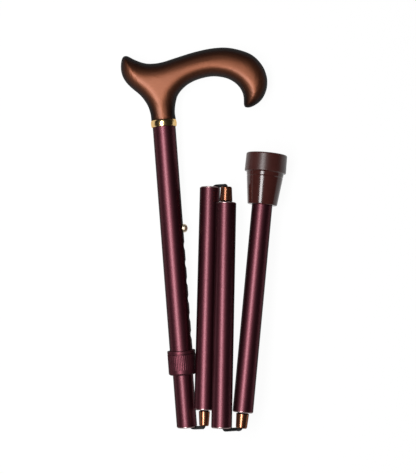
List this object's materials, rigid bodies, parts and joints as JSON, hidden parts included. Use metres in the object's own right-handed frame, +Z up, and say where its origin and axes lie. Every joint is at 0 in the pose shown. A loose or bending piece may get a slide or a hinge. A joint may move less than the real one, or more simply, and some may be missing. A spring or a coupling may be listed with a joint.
{
  "type": "folding cane",
  "caption": "Folding walking cane with a Derby grip, a height-adjustable shaft with snap button and lock nut, corded tube sections and a rubber tip.",
  "frame": {"origin": "on the table under the middle of the folded cane's box", "axes": "+Z up from the table, +Y along the sections towards the handle, +X from the handle's neck towards its nose"},
  "size_m": [0.1301, 0.3002, 0.0424],
  "materials": {
    "bronze_grip": "satin copper-bronze lacquer",
    "gold": "polished gold",
    "plum_tube": "satin burgundy anodised aluminium",
    "plum_plastic": "matt plum plastic",
    "brass_button": "polished brass",
    "copper_plug": "polished copper-coloured brass",
    "steel": "plain steel",
    "cord_black": "black braided elastic cord",
    "rubber_tip": "brown-burgundy rubber"
  },
  "bodies": {
    "handle_section": {"handle": "bronze_grip", "collar_ring": "gold", "upper_tube": "plum_tube", "lock_bush": "plum_plastic"},
    "lock_nut": {"lock_nut": "plum_plastic"},
    "inner_section": {"inner_tube": "plum_tube", "button_spring": "steel", "socket_bush_1": "copper_plug", "cord_anchor_top": "steel", "cord_knot_top": "cord_black", "cord_run_1": "cord_black"},
    "snap_button": {"snap_button": "brass_button"},
    "fold_link_1": {"cord_bend_1": "cord_black"},
    "second_section": {"tube_2": "plum_tube", "spigot_2": "copper_plug", "socket_bush_2": "copper_plug", "cord_run_2": "cord_black"},
    "fold_link_2": {"cord_bend_2": "cord_black"},
    "third_section": {"tube_3": "plum_tube", "spigot_3": "copper_plug", "socket_bush_3": "copper_plug", "cord_run_3": "cord_black"},
    "fold_link_3": {"cord_bend_3": "cord_black"},
    "fourth_section": {"tube_4": "plum_tube", "spigot_4": "copper_plug", "cord_run_4": "cord_black", "cord_anchor_bottom": "steel", "cord_knot_bottom": "cord_black", "tip_ferrule": "rubber_tip", "tip_washer": "steel"}
  },
  "joints": [
    {"name": "height_slide", "type": "slide", "parent": "handle_section", "child": "inner_section", "axis": [0.076, -0.9971, 0], "range_m": [0, 0.084]},
    {"name": "nut_turn", "type": "hinge", "parent": "handle_section", "child": "lock_nut", "pos_m": [-0.01733, -0.09876, 0.012], "axis": [-0.076, 0.9971, 0], "range_deg": [0, 270]},
    {"name": "button_press", "type": "slide", "parent": "inner_section", "child": "snap_button", "axis": [-0.9971, -0.076, 0], "range_m": [0, 0.0045], "stiffness_N_per_m": 1500, "springref_m": -0.001, "deforming": ["button_spring"]},
    {"name": "fold_1", "type": "hinge", "parent": "inner_section", "child": "fold_link_1", "pos_m": [-0.00684, -0.14741, 0.01798], "axis": [0.6716, -0.0147, -0.7408], "range_deg": [0, 178.99], "deforming": ["cord_bend_1"]},
    {"name": "plug_1", "type": "slide", "parent": "fold_link_1", "child": "second_section", "axis": [-0.0252, -0.996, 0.0856], "range_m": [0, 0.0129], "deforming": ["cord_bend_1"]},
    {"name": "fold_2", "type": "hinge", "parent": "second_section", "child": "fold_link_2", "pos_m": [0.01091, 0.04068, 0.01319], "axis": [-0.6319, 0.0809, 0.7708], "range_deg": [0, 179.81], "deforming": ["cord_bend_2"]},
    {"name": "plug_2", "type": "slide", "parent": "fold_link_2", "child": "third_section", "axis": [0.021, 0.9961, -0.0856], "range_m": [0, 0.0129], "deforming": ["cord_bend_2"]},
    {"name": "fold_3", "type": "hinge", "parent": "third_section", "child": "fold_link_3", "pos_m": [0.02103, -0.14667, 0.0308], "axis": [-0.4348, -0.0369, -0.8998], "range_deg": [0, 177.01], "deforming": ["cord_bend_3"]},
    {"name": "plug_3", "type": "slide", "parent": "fold_link_3", "child": "fourth_section", "axis": [-0.095, -0.9941, 0.052], "range_m": [0, 0.0129], "deforming": ["cord_bend_3"]}
  ],
  "couplings": [
    {"joint": "fold_2", "follows": "fold_1", "ratio": 1.0046}
  ]
}
